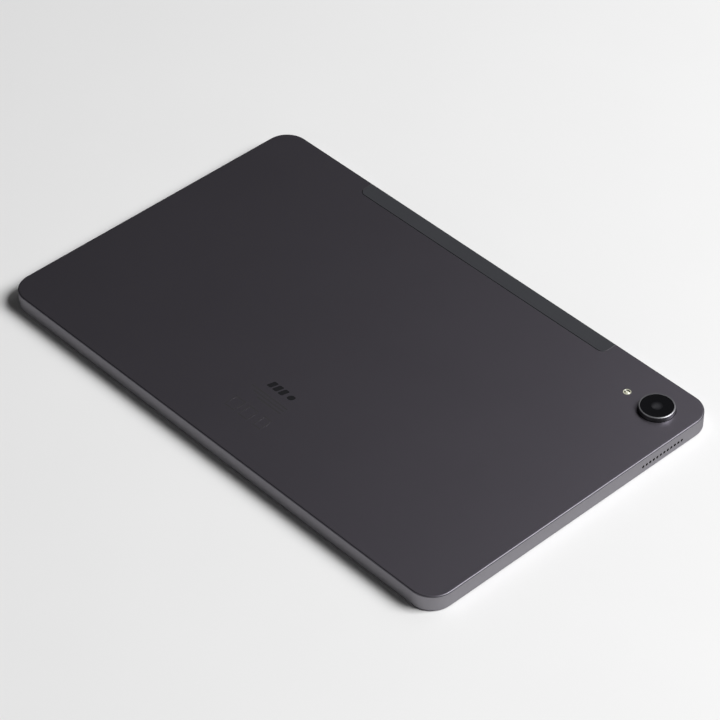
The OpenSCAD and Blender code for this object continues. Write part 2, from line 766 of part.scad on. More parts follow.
module front_camera() {
    color([0.08, 0.08, 0.09]) translate([selfie_x, selfie_y, 0]) {
        translate([0, 0, 1.4]) linear_extrude(2.9) square([5, selfie_w], center = true);
        translate([0, 0, 0.9]) difference() {
            cylinder(r = 1.8, h = 0.5);
            translate([0, 0, -cut]) cylinder(r1 = 1.25, r2 = 0.8, h = 0.5);
        }
    }
}

module front_camera_flex() {
    y = main_y2 - 10;
    color([0.45, 0.3, 0.08]) {
        block(selfie_x + 2.5, selfie_x + 6, y - 1.4, selfie_y + 1.4, flex_z, flex_z + flex_t);
        block(selfie_x + 6, main_x0 + 9, y - 1.4, y + 1.4, flex_z, flex_z + flex_t);
    }
}

// ---------------------------------------------------------------- speakers

module racetrack(l, w, z0, z1) {
    translate([cone_x, cone_y, z0]) linear_extrude(z1 - z0) rotate(90) stadium(l, w);
}

module speaker_box() {
    color([0.09, 0.09, 0.095]) difference() {
        union() {
            block(box_x0, box_x1, box_y0, box_y1, box_z, box_top);
            block(nose_x0, box_x1, box_y1, nose_y1, box_z, box_top);
        }
        racetrack(cone_l + 1, cone_w + 1, box_z - cut, 5.2);
        racetrack(cone_l - 5, cone_w - 4, 5.1, 6.5);
        block(box_x1 - 2, box_x1 + cut, speaker_y - 12.4, nose_y1 - 0.6, box_z + 0.05, 4.5);
    }
}
module speaker_right_box() { speaker_box(); }
module speaker_left_box() { mirror([1, 0, 0]) speaker_box(); }

// Domed cone and voice coil
module diaphragm() {
    color([0.3, 0.3, 0.32]) {
        racetrack(cone_l, cone_w, cone_z, cone_z + 0.2);
        racetrack(cone_l - 8, cone_w - 5, cone_z - 0.25, cone_z);
        difference() {
            racetrack(cone_l - 6.2, cone_w - 5.2, cone_z + 0.2, 5.5);
            racetrack(cone_l - 7, cone_w - 6, cone_z + 0.1, 5.6);
        }
    }
}
module speaker_right_diaphragm() { diaphragm(); }
module speaker_left_diaphragm() { mirror([1, 0, 0]) diaphragm(); }

module speaker_magnets() {
    color([0.6, 0.6, 0.62]) for (m = [0, 1]) mirror([m, 0, 0])
        racetrack(cone_l - 8, cone_w - 7, 4.6, 6.5);
}

module speaker_meshes() {
    x1 = half_l - wall_t - 0.05;
    color([0.05, 0.05, 0.05]) for (m = [0, 1]) mirror([m, 0, 0])
        block(x1 - 0.3, x1, speaker_y - 12.6, speaker_y + 12.6, 2.9, 4.35);
}

// ---------------------------------------------------------------- port and card tray

module at_usb(x0) { translate([x0, 0, port_z]) rotate([90, 0, 90]) children(); }

module usb_shell() {
    color([0.7, 0.7, 0.72]) difference() {
        at_usb(usb_x0) linear_extrude(usb_depth) stadium(usb_w, usb_h);
        at_usb(usb_x0 - cut) linear_extrude(usb_depth - usb_wall)
            stadium(usb_w - 2 * usb_wall, usb_h - 2 * usb_wall);
    }
    for (s = [-1, 1], x = [3, 6])
        block(usb_x0 + x, usb_x0 + x + 1.2, s > 0 ? usb_w / 2 - 0.2 : -usb_w / 2 - 1.4,
              s > 0 ? usb_w / 2 + 1.4 : -usb_w / 2 + 0.2, sub_z - 0.2, sub_z);
}

module usb_tongue() {
    x1 = usb_x0 + usb_depth - usb_wall - cut;
    tongue_w = 6.69;
    color([0.1, 0.1, 0.1]) {
        block(usb_x0 + 0.9, x1 - 1.6, -tongue_w / 2, tongue_w / 2, port_z - 0.3, port_z + 0.3);
        at_usb(x1 - 1.6) linear_extrude(1.6)
            stadium(usb_w - 2 * usb_wall - 0.02, usb_h - 2 * usb_wall - 0.02);
    }
}

module usb_contacts() {
    color([0.85, 0.65, 0.3]) for (s = [-1, 1], i = [0 : 11])
        translate([usb_x0 + 1.3, (i - 5.5) * 0.5 - 0.13, port_z + (s > 0 ? 0.3 : -0.35)])
            cube([4.2, 0.26, 0.05]);
}

module microphone() {
    color([0.75, 0.73, 0.68]) difference() {
        block(sub_x0 + 0.5, sub_x0 + 3.2, 8.2, 11.8, sub_z - 1, sub_z);
        translate([sub_x0 + 0.4, 10, port_z + 0.2]) rotate([0, 90, 0]) cylinder(r = 0.3, h = 0.6);
    }
}

// Door, carrier and the pocket that holds a memory card
module card_tray() {
    x0 = tray_x0 + door_t;
    color([0.26, 0.25, 0.27]) {
        difference() {
            translate([tray_x0 + 0.05, (door_y0 + door_y1) / 2, port_z]) rotate([90, 0, 90])
                linear_extrude(door_t - 0.05) stadium(door_y1 - door_y0, door_h);
            translate([tray_x0 - cut, rod_y, port_z]) rotate([0, 90, 0])
                cylinder(r = 0.5, h = door_t + 2 * cut);
        }
        difference() {
            block(x0 - 0.01, carrier_x1, tray_y - carrier_w / 2, tray_y + carrier_w / 2,
                  port_z - carrier_t / 2, port_z + carrier_t / 2);
            block(x0 + 1.2, carrier_x1 - 0.9, tray_y - carrier_w / 2 - cut, tray_y + carrier_w / 2 - 0.5,
                  port_z + carrier_t / 2 - 0.72, port_z + carrier_t / 2 + cut);
            block(x0 + 3.5, carrier_x1 - 3, tray_y - carrier_w / 2 + 1.4, tray_y + carrier_w / 2 - 2,
                  port_z - carrier_t, port_z + carrier_t);
        }
    }
}

// Pressed steel socket around the carrier, and the ejector's pivot
module card_reader() {
    x0 = tray_x0 + 3.6;
    y = carrier_w / 2 + 0.12;
    z0 = port_z - carrier_t / 2 - 0.12;
    color([0.72, 0.72, 0.74]) {
        difference() {
            block(x0, carrier_x1 - 0.4, tray_y - y - reader_wall, tray_y + y + reader_wall,
                  z0 - reader_wall, sub_z);
            block(x0 - cut, carrier_x1, tray_y - y, tray_y + y, z0, sub_z + cut);
            block(x0 + 4, x0 + 8, tray_y - 2, tray_y + 2, z0 - 1, z0 + cut);
        }
        for (x = [x0 + 1, x0 + 12.2]) difference() {
            block(x, x + 1.4, rod_y - rod_w / 2 - 0.7, tray_y - y - 0.01, port_z - rod_w / 2 - 0.35, sub_z);
            block(x - cut, x + 1.4 + cut, rod_y - rod_w / 2 - rod_gap, rod_y + rod_w / 2 + rod_gap,
                  port_z - rod_w / 2 - rod_gap, port_z + rod_w / 2 + rod_gap);
        }
        translate([lever_x, pivot_y, port_z - 0.55]) cylinder(r = pivot_r, h = sub_z + 0.5 - port_z + 0.55);
        translate([lever_x, pivot_y, port_z - 0.75]) cylinder(r = 0.9, h = 0.2);
    }
}

module card_contacts() {
    color([0.85, 0.65, 0.3]) for (i = [0 : 7])
        translate([carrier_x1 - 6.5, tray_y - 4.1 + i * 1.1, sub_z - 0.2]) cube([4, 0.5, 0.2]);
}

// Square rod with a lug that stops it between its two guides
module eject_rod() {
    lug_x = tray_x0 + 9;
    color([0.72, 0.72, 0.74]) {
        block(tray_x0 + door_t + 0.1, lever_x - lever_r - 0.1, rod_y - rod_w / 2, rod_y + rod_w / 2,
              port_z - rod_w / 2, port_z + rod_w / 2);
        block(lug_x, lug_x + 1.5, rod_y - 1.1, rod_y + rod_w / 2, port_z - rod_w / 2, port_z + rod_w / 2);
    }
}

module eject_lever() {
    color([0.72, 0.72, 0.74]) translate([lever_x, pivot_y, port_z - 0.3]) difference() {
        linear_extrude(0.6) union() {
            rotate(90) stadium(2 * lever_arm + 2 * lever_r, 2 * lever_r);
            circle(1.15);
        }
        translate([0, 0, -cut]) cylinder(r = pivot_r + 0.05, h = 1);
    }
}

// ---------------------------------------------------------------- buttons

// A button cap, its flange inside the wall, and nubs that press the switches
module cap(l, flange_gap, nubs) {
    flange_y = button_y - flange_gap;
    nub_y = key_y + dome_h + key_gap;
    translate([0, half_w + button_out, 0]) rotate([90, 0, 0])
        linear_extrude(half_w + button_out - flange_y + 0.01) stadium(l, button_h);
    block(-l / 2 - 0.7, l / 2 + 0.7, flange_y - flange_depth, flange_y, -flange_h / 2, flange_h / 2);
    for (x = nubs) translate([x, nub_y, 0]) rotate([-90, 0, 0])
        cylinder(r = 0.6, h = flange_y - flange_depth - nub_y + 0.01);
}

module power_button() {
    color([0.26, 0.25, 0.27]) translate([power_x, 0, button_z]) cap(power_l, power_flange_gap, [0]);
}

module volume_rocker() {
    color([0.26, 0.25, 0.27]) translate([volume_x, 0, button_z]) {
        cap(volume_l, volume_flange_gap, [-nub_at, nub_at]);
        translate([0, fulcrum_y, -flange_h / 2]) cylinder(r = fulcrum_r, h = flange_h);
    }
}

// Flexible circuit with three dome switches
module key_flex() {
    color([0.45, 0.3, 0.08]) block(key_x0, key_x1, key_y - flex_t, key_y, 3.1, 5.6);
    color([0.8, 0.8, 0.8]) for (x = [power_x, volume_x - nub_at, volume_x + nub_at]) {
        block(x - 1.6, x + 1.6, key_y, key_y + dome_h - 0.2, button_z - 0.9, button_z + 0.9);
        translate([x, key_y + dome_h - 0.21, button_z]) rotate([-90, 0, 0]) cylinder(r = 0.65, h = 0.21);
    }
}

module key_bracket() {
    color([0.7, 0.7, 0.72]) {
        block(key_x0, key_x1, key_y - flex_t - 0.4, key_y - flex_t, 3.1, inner_z);
        block(key_x0, key_x1, key_y - flex_t - 1.6, key_y - flex_t - 0.3, inner_z - 0.4, inner_z);
    }
}

// ---------------------------------------------------------------- antennas and screws

antenna_at = [[-48, 34], [-6, 26], [40, 34]];

module antenna_flexes() {
    color([0.75, 0.55, 0.25]) for (a = antenna_at)
        block(a[0] - a[1] / 2, a[0] + a[1] / 2, half_w - 8.4, half_w - wall_t - 0.3,
              window_floor - flex_t, window_floor);
}

// Coaxial leads from the antennas to the main board, with their round plugs
module antenna_cables() {
    r = 0.3;
    z = board_z + board_t + 0.4;
    color([0.1, 0.1, 0.1]) for (i = [0, 1]) {
        x0 = antenna_at[i * 2][0];
        x1 = main_x0 + 5 + i * 3.4;
        y = half_w - 12.4 - i * 1.4;
        length_y = 4.4 + i * 1.4;
        translate([x0, y, z]) rotate([0, 90, 0]) cylinder(r = r, h = x1 - x0);
        translate([x0, y, z]) sphere(r);
        translate([x1, y, z - 0.4]) cylinder(r = 0.65, h = 0.8);
        translate([x0, y, z]) rotate([-90, 0, 0]) cylinder(r = r, h = length_y);
        translate([x0, y + length_y, z - 0.4]) cylinder(r = 0.6, h = window_floor - flex_t - z + 0.4);
    }
}

module screw(at, z) {
    translate([at[0], at[1], z]) difference() {
        union() {
            translate([0, 0, -0.5]) cylinder(r = 1.35, h = 0.5);
            cylinder(r = screw_r, h = inner_z - z - 0.2);
        }
        for (a = [0, 90]) rotate([0, 0, a]) translate([-0.7, -0.14, -0.6]) cube([1.4, 0.28, 0.4]);
    }
}

module screws() {
    color([0.2, 0.2, 0.2]) {
        for (p = main_screws) screw(p, board_z);
        for (p = sub_screws) screw(p, sub_z);
    }
}

rear_cover();
antenna_window();
front_frame();
cover_glass();
display_adhesive();
touch_panel();
lcd_panel();
light_guide();
backlight_tray();
backlight_leds();
graphite_sheet();
display_flex();
touch_flex();
battery_cell_left();
battery_cell_right();
battery_board();
battery_lead();
battery_tapes();
main_board();
processor_chip();
memory_chips();
shield_can_processor();
shield_can_radio();
board_connectors();
board_passives();
camera_bezel();
camera_glass();
camera_gasket();
rear_camera_housing();
rear_camera_barrel();
rear_camera_lens();
rear_camera_flex();
flash_lens();
flash_led();
front_camera();
front_camera_flex();
speaker_right_box();
speaker_left_box();
speaker_right_diaphragm();
speaker_left_diaphragm();
speaker_magnets();
speaker_meshes();
usb_shell();
usb_tongue();
usb_contacts();
sub_board();
sub_board_flex();
card_tray();
card_reader();
card_contacts();
eject_rod();
eject_lever();
microphone();
power_button();
volume_rocker();
key_flex();
key_bracket();
antenna_flexes();
antenna_cables();
screws();
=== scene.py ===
import math

import bpy
import bmesh
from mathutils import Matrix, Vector


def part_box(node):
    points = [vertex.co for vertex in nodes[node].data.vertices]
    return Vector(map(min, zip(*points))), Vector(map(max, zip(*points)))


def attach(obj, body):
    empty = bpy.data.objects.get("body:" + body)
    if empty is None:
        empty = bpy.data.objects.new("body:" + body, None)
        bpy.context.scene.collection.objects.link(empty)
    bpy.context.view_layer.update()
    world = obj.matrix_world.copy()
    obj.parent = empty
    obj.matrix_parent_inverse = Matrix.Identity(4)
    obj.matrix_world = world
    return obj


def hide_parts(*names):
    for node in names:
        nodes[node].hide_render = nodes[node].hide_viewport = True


# A slim tablet computer lying on its screen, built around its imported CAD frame. The sections
# follow the tablet as it is put together: the screen, the boards and the battery, the sound,
# the cameras, the port and the card tray, and last the metal back with its buttons.

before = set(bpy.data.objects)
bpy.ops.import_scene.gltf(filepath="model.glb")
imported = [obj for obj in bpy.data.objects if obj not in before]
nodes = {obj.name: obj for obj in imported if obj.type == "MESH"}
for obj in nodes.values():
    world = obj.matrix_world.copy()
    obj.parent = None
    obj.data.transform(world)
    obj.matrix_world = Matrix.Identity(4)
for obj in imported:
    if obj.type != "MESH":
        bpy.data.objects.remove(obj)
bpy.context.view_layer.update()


# ---------------------------------------------------------------- camera and light
# A long lens looks down on the back from the corner between the speaker end and the plain
# long side. One broad lamp stands past the camera's corner, and three weak ones lift the
# shadows in a dim room.

MM = 0.001
AZIMUTH, ELEVATION = math.radians(46.73), math.radians(41.56)
DISTANCE = 1.34115
LENS = 161.8
LOOK_AT = Vector((1.13, 2.40, 0)) * MM

view = Vector((math.sin(AZIMUTH) * math.cos(ELEVATION),
               -math.cos(AZIMUTH) * math.cos(ELEVATION), math.sin(ELEVATION)))
camera = bpy.data.objects.new("camera", bpy.data.cameras.new("camera"))
camera.data.lens = LENS
camera.data.sensor_width = 36
camera.data.clip_start = 0.01
camera.location = LOOK_AT + view * DISTANCE
camera.rotation_euler = (-view).to_track_quat("-Z", "Y").to_euler()
bpy.context.scene.collection.objects.link(camera)
bpy.context.scene.camera = camera
bpy.context.scene.view_settings.view_transform = "Standard"


def lamp(name, azimuth, elevation, distance, size, watts):
    """A soft square lamp that faces the tablet, from that side of +X and height, in degrees."""
    turn, lift = math.radians(azimuth), math.radians(elevation)
    toward = Vector((math.cos(turn) * math.cos(lift), math.sin(turn) * math.cos(lift),
                     math.sin(lift)))
    light = bpy.data.lights.new(name, "AREA")
    light.shape = "SQUARE"
    light.size = size
    light.energy = watts
    item = bpy.data.objects.new(name, light)
    item.location = toward * distance
    item.rotation_euler = (-toward).to_track_quat("-Z", "Y").to_euler()
    bpy.context.scene.collection.objects.link(item)


lamp("key_lamp", 37.5, 45.5, 2.9, 1.5, 127)
lamp("low_lamp", 270, 15, 1.3, 0.7, 0.9)
lamp("back_lamp", 90, 42, 1.3, 0.7, 1.3)
lamp("front_lamp", 270, 42, 1.3, 0.7, 0.3)

world = bpy.data.worlds.new("dim_room")
world.use_nodes = True
ROOM = 0.01
world.node_tree.nodes["Background"].inputs["Color"].default_value = (ROOM, ROOM, ROOM, 1)
bpy.context.scene.world = world


# ---------------------------------------------------------------- screen glass
# Toughened cover glass, with a black border printed on its inner face and a clear spot in it
# for the front camera. Behind it the switched-off screen looks almost as black.

HALF_L, HALF_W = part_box("rear_cover")[1].xy / MM


class Link:
    """A node's socket that takes part in Python arithmetic."""

    def __init__(self, graph, socket):
        self.graph, self.socket = graph, socket

    def math(self, operation, *values):
        return self.graph.node("Math", {"operation": operation}, dict(enumerate(values)))

    def __add__(self, other): return self.math("ADD", self, other)
    def __radd__(self, other): return self.math("ADD", other, self)
    def __sub__(self, other): return self.math("SUBTRACT", self, other)
    def __rsub__(self, other): return self.math("SUBTRACT", other, self)
    def __mul__(self, other): return self.math("MULTIPLY", self, other)
    def __rmul__(self, other): return self.math("MULTIPLY", other, self)
    def __truediv__(self, other): return self.math("DIVIDE", self, other)
    def __pow__(self, other): return self.math("POWER", self, other)
    def __mod__(self, other): return self.math("FLOORED_MODULO", self, other)
    def __abs__(self): return self.math("ABSOLUTE", self)
    def __neg__(self): return self.math("MULTIPLY", self, -1)
    def __gt__(self, other): return self.math("GREATER_THAN", self, other)
    def __lt__(self, other): return self.math("LESS_THAN", self, other)


class Graph:
    """A tree of nodes, for a material or for a repeated shape."""

    def fill(self, socket, value):
        if isinstance(value, Link):
            self.tree.links.new(value.socket, socket)
        else:
            socket.default_value = value

    def node(self, kind, settings=None, sockets=None, output=0):
        """Makes a node and fills its sockets. Gives one output, or all of them for None."""
        made = self.tree.nodes.new(kind if kind.startswith("Geometry") else "ShaderNode" + kind)
        for key, value in (settings or {}).items():
            setattr(made, key, value)
        for key, value in (sockets or {}).items():
            self.fill(made.inputs[key], value)
        if output is None:
            return [Link(self, socket) for socket in made.outputs]
        return Link(self, made.outputs[output])


class Finish(Graph):
    """A material with a Principled shader. Its patterns are measured in millimetres."""

    def __init__(self, name, colour, roughness, metallic=0.0, **constants):
        self.material = bpy.data.materials.new(name)
        self.material.use_nodes = True
        self.tree = self.material.node_tree
        self.shader = self.tree.nodes["Principled BSDF"]
        self.set("Base Color", (*colour, 1))
        self.set("Roughness", roughness)
        self.set("Metallic", metallic)
        for key, value in constants.items():
            self.set(key.replace("_", " ").title().replace("Ior", "IOR"), value)

    def set(self, socket, value):
        """Gives one of the shader's sockets a value or a link."""
        self.fill(self.shader.inputs[socket], value)

    def place(self, stretch=(1, 1, 1), centre=(0, 0, 0)):
        """The point on the object in millimetres, from a centre, squeezed along stretched axes."""
        scale = tuple(1 / MM / s for s in stretch)
        shift = tuple(-c / s for c, s in zip(centre, stretch))
        return self.node("Mapping", {}, {"Vector": self.node("TexCoord", output="Object"),
                                         "Scale": scale, "Location": shift})

    def xyz(self, centre=(0, 0, 0)):
        return self.node("SeparateXYZ", {}, {"Vector": self.place(centre=centre)}, output=None)

    def facing(self):
        """X, Y and Z of the surface's direction."""
        normal = self.node("TexCoord", output="Normal")
        return self.node("SeparateXYZ", {}, {"Vector": normal}, output=None)

    def noise(self, size, stretch=(1, 1, 1), detail=2.0, rough=0.5):
        """Cloudy noise from 0 to 1, with lumps of that size in millimetres."""
        return self.node("TexNoise", {}, {"Vector": self.place(stretch), "Scale": 1 / size,
                                          "Detail": detail, "Roughness": rough})

    def cells(self, size):
        """Distance from the middle of the nearest of many scattered cells."""
        return self.node("TexVoronoi", {}, {"Vector": self.place(), "Scale": 1 / size})

    def fade(self, value, low, high, to_low=0.0, to_high=1.0):
        """Goes smoothly between two values as another passes from low to high."""
        return self.node("MapRange", {"interpolation_type": "SMOOTHSTEP"},
                         {"Value": value, "From Min": low, "From Max": high,
                          "To Min": to_low, "To Max": to_high})

    def mix(self, factor, first, second):
        """Mixes two colours."""
        sockets = {0: factor}
        for key, colour in ((6, first), (7, second)):
            sockets[key] = colour if isinstance(colour, Link) else (*colour, 1)
        return self.node("Mix", {"data_type": "RGBA"}, sockets, output=2)

    def bump(self, height, depth):
        """Raises the surface by height times depth, in millimetres."""
        self.set("Normal", self.node("Bump", {}, {"Height": height, "Distance": depth * MM,
                                                  "Strength": 1}))

    def dress(self, *items):
        """Puts the material on CAD nodes, by name, or on pieces."""
        for item in items:
            item = nodes[item] if isinstance(item, str) else item
            item.data.materials.clear()
            item.data.materials.append(self.material)


def middle_of(name):
    """X and Y of the middle of a CAD node, in millimetres."""
    low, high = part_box(name)
    return (low.x + high.x) / 2 / MM, (low.y + high.y) / 2 / MM


BEZEL, SPOT_R = 8.0, 1.3
glass = Finish("screen_glass", (0.004, 0.004, 0.005), 0.05, ior=1.5, coat_weight=0.6)
x, y, _ = glass.xyz()
inside = (abs(x) < HALF_L - BEZEL) * (abs(y) < HALF_W - BEZEL)
glass.set("Base Color", glass.mix(inside, (0.003, 0.003, 0.0035), (0.010, 0.011, 0.014)))
smudge = glass.noise(18, stretch=(1, 1.7, 1), detail=5)
glass.set("Roughness", glass.fade(smudge, 0.35, 0.75, 0.03, 0.09))
spot_x, spot_y = middle_of("front_camera")
spot = (x - spot_x) * (x - spot_x) + (y - spot_y) * (y - spot_y)
glass.set("Alpha", 1 - (spot < SPOT_R ** 2) * 0.85)
glass.dress("cover_glass")


# ---------------------------------------------------------------- touch panel, screen, back light
# The touch film is bonded to the glass. Behind it come the liquid crystal cell, the acrylic
# light guide with its row of lamps, and a pressed steel tray that the graphite sheet covers.

ELECTRODES, ELECTRODE_W = 4.2, 0.12
film = Finish("touch_film", (0.42, 0.47, 0.5), 0.12, ior=1.5)
x, y, _ = film.xyz()
grid = ((x % ELECTRODES) < ELECTRODE_W) + ((y % ELECTRODES) < ELECTRODE_W)
film.set("Base Color", film.mix(grid, (0.42, 0.47, 0.5), (0.5, 0.48, 0.42)))
film.bump(film.noise(30, detail=1), 0.01)
film.dress("touch_panel")

LEDGE_W, STRIPE_W = 2.6, 0.36
cell = Finish("crystal_cell", (0.02, 0.02, 0.024), 0.08, ior=1.5)
x, y, _ = cell.xyz()
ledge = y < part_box("lcd_panel")[0].y / MM + LEDGE_W
stripes = (x % STRIPE_W) / STRIPE_W
cell.set("Base Color", cell.mix(ledge, (0.018, 0.019, 0.024), (0.11, 0.13, 0.13)))
cell.set("Roughness", 0.06 + stripes * 0.08 + ledge * 0.2)
cell.bump(cell.noise(40, detail=1), 0.01)
cell.dress("lcd_panel")

guide = Finish("light_guide", (0.72, 0.76, 0.78), 0.3, ior=1.49)
dots = guide.cells(0.9)
guide.set("Base Color", guide.mix(guide.fade(dots, 0.18, 0.24),
                                  (0.95, 0.97, 1), (0.68, 0.73, 0.76)))
guide.bump(guide.fade(dots, 0.1, 0.3), 0.02)
guide.dress("light_guide")

STRIP_EDGE = 0.25
lamps = Finish("light_strip", (0.9, 0.85, 0.6), 0.4)
_, y, _ = lamps.xyz()
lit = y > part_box("backlight_leds")[0].y / MM + STRIP_EDGE
lamps.set("Base Color", lamps.mix(lit, (0.5, 0.3, 0.08), (0.92, 0.84, 0.42)))
lamps.bump(lamps.noise(0.4), 0.02)
lamps.dress("backlight_leds")

steel = Finish("pressed_steel", (0.56, 0.56, 0.57), 0.32, 1.0)
streaks = steel.noise(0.25, stretch=(40, 1, 1), detail=4)
clouds = steel.noise(6, detail=3)
steel.set("Base Color", steel.mix(clouds, (0.48, 0.48, 0.49), (0.64, 0.64, 0.65)))
steel.set("Roughness", 0.27 + streaks * 0.1)
steel.bump(streaks, 0.002)
steel.dress("backlight_tray", "shield_can_processor", "shield_can_radio", "key_bracket",
            "card_reader", "eject_rod", "eject_lever", "usb_shell", "microphone")

WAFFLE = 2.4
graphite = Finish("graphite_film", (0.05, 0.05, 0.055), 0.42, 0.35)
x, y, _ = graphite.xyz()
waffle = abs((x % WAFFLE) - WAFFLE / 2) * abs((y % WAFFLE) - WAFFLE / 2)
flecks = graphite.noise(0.5, detail=4)
graphite.set("Base Color", graphite.mix(flecks, (0.03, 0.03, 0.034), (0.085, 0.085, 0.09)))
graphite.set("Roughness", 0.34 + flecks * 0.2)
graphite.bump(waffle, 0.02)
graphite.dress("graphite_sheet")

tape = Finish("foam_tape", (0.02, 0.02, 0.02), 0.85)
pores = tape.cells(0.25)
tape.set("Base Color", tape.mix(pores, (0.012, 0.012, 0.012), (0.035, 0.035, 0.036)))
tape.bump(pores, 0.03)
tape.dress("display_adhesive", "battery_tapes", "camera_gasket")


# ---------------------------------------------------------------- boards, chips, flexible circuits
# Glass-fibre boards with dark solder resist and gilt pads carry black epoxy chips and ceramic
# parts. Polyimide ribbons with copper tracks join them to the screen, the keys and the cameras.

TRACKS_PER_LUMP, TRACK_SHARE, PAD_R = 14, 0.16, 0.13
board = Finish("solder_resist", (0.012, 0.05, 0.035), 0.32)
traces = board.noise(1.6, detail=1)
track = abs(traces * TRACKS_PER_LUMP % 1.0 - 0.5) < TRACK_SHARE
pad = board.cells(2.4) < PAD_R
weave = board.noise(0.3, detail=3)
resist = board.mix(track, (0.009, 0.036, 0.026), (0.016, 0.07, 0.046))
board.set("Base Color", board.mix(pad, resist, (0.72, 0.52, 0.2)))
board.set("Metallic", pad * 0.9)
board.set("Roughness", 0.26 + weave * 0.16)
board.bump(track * 0.5 + weave * 0.2, 0.02)
board.dress("main_board", "sub_board", "battery_board")

epoxy = Finish("chip_epoxy", (0.02, 0.02, 0.021), 0.5)
grains = epoxy.noise(0.12, detail=3)
epoxy.set("Base Color", epoxy.mix(grains, (0.012, 0.012, 0.013), (0.034, 0.034, 0.036)))
epoxy.set("Roughness", 0.42 + grains * 0.2)
epoxy.bump(grains, 0.006)
epoxy.dress("processor_chip", "memory_chips", "board_connectors")

TRACK_PITCH = 0.5
ribbon = Finish("flex_ribbon", (0.34, 0.15, 0.03), 0.28)
x, y, _ = ribbon.xyz()
tracks = (ribbon.fade(abs(x % TRACK_PITCH - TRACK_PITCH / 2), 0.1, 0.14)
          * ribbon.fade(abs(y % TRACK_PITCH - TRACK_PITCH / 2), 0.05, 0.08))
polyimide = ribbon.mix(ribbon.noise(3), (0.3, 0.125, 0.02), (0.4, 0.18, 0.04))
ribbon.set("Base Color", ribbon.mix(tracks * 0.6, polyimide, (0.52, 0.3, 0.12)))
ribbon.bump(tracks, 0.006)
ribbon.dress("display_flex", "touch_flex", "rear_camera_flex", "front_camera_flex",
             "sub_board_flex", "key_flex", "antenna_flexes", "battery_lead")


# ---------------------------------------------------------------- battery
# Two lithium pouches in matt silver laminate foil, joined at a small protection board. Its
# lead runs to the main board beside the aerials' black cables, and tapes hold the cells down.

foil = Finish("pouch_foil", (0.5, 0.5, 0.52), 0.4, 0.9)
crinkle = foil.noise(7, detail=4, rough=0.6)
brush = foil.noise(0.2, stretch=(1, 30, 1), detail=3)
foil.set("Base Color", foil.mix(crinkle, (0.42, 0.42, 0.44), (0.6, 0.6, 0.62)))
foil.set("Roughness", 0.3 + brush * 0.25)
foil.bump(crinkle + brush * 0.05, 0.12)
foil.dress("battery_cell_left", "battery_cell_right")

jacket = Finish("cable_jacket", (0.025, 0.025, 0.027), 0.42)
waves = jacket.noise(0.7, detail=3)
jacket.set("Base Color", jacket.mix(waves, (0.016, 0.016, 0.018), (0.04, 0.04, 0.042)))
jacket.bump(waves, 0.02)
jacket.dress("antenna_cables")


# ---------------------------------------------------------------- chip parts on the boards
# Hundreds of ceramic capacitors and resistors, each a pale brown block with a tinned cap on
# both ends, soldered in rows.

class Pattern(Graph):
    """A Geometry Nodes tree. Its named inputs are sizes in metres, or whole numbers."""

    def __init__(self, name, **sizes):
        self.tree = bpy.data.node_groups.new(name, "GeometryNodeTree")
        self.sizes = sizes
        for way in ("INPUT", "OUTPUT"):
            self.tree.interface.new_socket("Geometry", in_out=way,
                                           socket_type="NodeSocketGeometry")
        for key, value in sizes.items():
            kind = "NodeSocketInt" if isinstance(value, int) else "NodeSocketFloat"
            self.tree.interface.new_socket(key, in_out="INPUT", socket_type=kind)
        self.given = self.tree.nodes.new("NodeGroupInput")

    def __getitem__(self, key):
        return Link(self, self.given.outputs[key])

    def vector(self, x=0.0, y=0.0, z=0.0):
        """A vector of sockets or numbers."""
        return self.node("CombineXYZ", {}, {"X": x, "Y": y, "Z": z})

    def moved(self, shape, place=(0, 0, 0), turn=(0, 0, 0), scale=(1, 1, 1)):
        return self.node("GeometryNodeTransform", {}, {"Geometry": shape, "Translation": place,
                                                       "Rotation": turn, "Scale": scale})

    def box(self, x, y, z):
        return self.node("GeometryNodeMeshCube", {}, {"Size": self.vector(x, y, z)})

    def rod(self, radius, depth, sides):
        return self.node("GeometryNodeMeshCylinder", {}, {"Vertices": sides, "Radius": radius,
                                                          "Depth": depth})

    def join(self, *shapes):
        made = self.tree.nodes.new("GeometryNodeJoinGeometry")
        for shape in reversed(shapes):
            self.tree.links.new(shape.socket, made.inputs[0])
        return Link(self, made.outputs[0])

    def painted(self, shape, finish):
        """The last two nodes of a shape: real copies, and their material."""
        real = self.node("GeometryNodeRealizeInstances", {}, {"Geometry": shape})
        return self.node("GeometryNodeSetMaterial", {}, {"Geometry": real,
                                                         "Material": finish.material})

    def piece(self, name, result, points=((0, 0, 0),)):
        """Runs the tree on points, and gives its result as a plain mesh."""
        self.tree.links.new(result.socket, self.tree.nodes.new("NodeGroupOutput").inputs[0])
        start = bpy.data.meshes.new(name + "_points")
        start.from_pydata(points, [], [])
        carrier = bpy.data.objects.new(name + "_carrier", start)
        bpy.context.scene.collection.objects.link(carrier)
        modifier = carrier.modifiers.new("pattern", "NODES")
        modifier.node_group = self.tree
        for item in self.tree.interface.items_tree:
            if item.in_out == "INPUT" and item.name in self.sizes:
                modifier[item.identifier] = self.sizes[item.name]
        evaluated = carrier.evaluated_get(bpy.context.evaluated_depsgraph_get())
        mesh = bpy.data.meshes.new_from_object(evaluated)
        carrier.modifiers.clear()
        bpy.data.objects.remove(carrier)
        return place_piece(name, mesh)


def place_piece(name, mesh):
    """Puts a finished mesh in the scene."""
    mesh.name = name
    item = bpy.data.objects.new(name, mesh)
    bpy.context.scene.collection.objects.link(item)
    return item


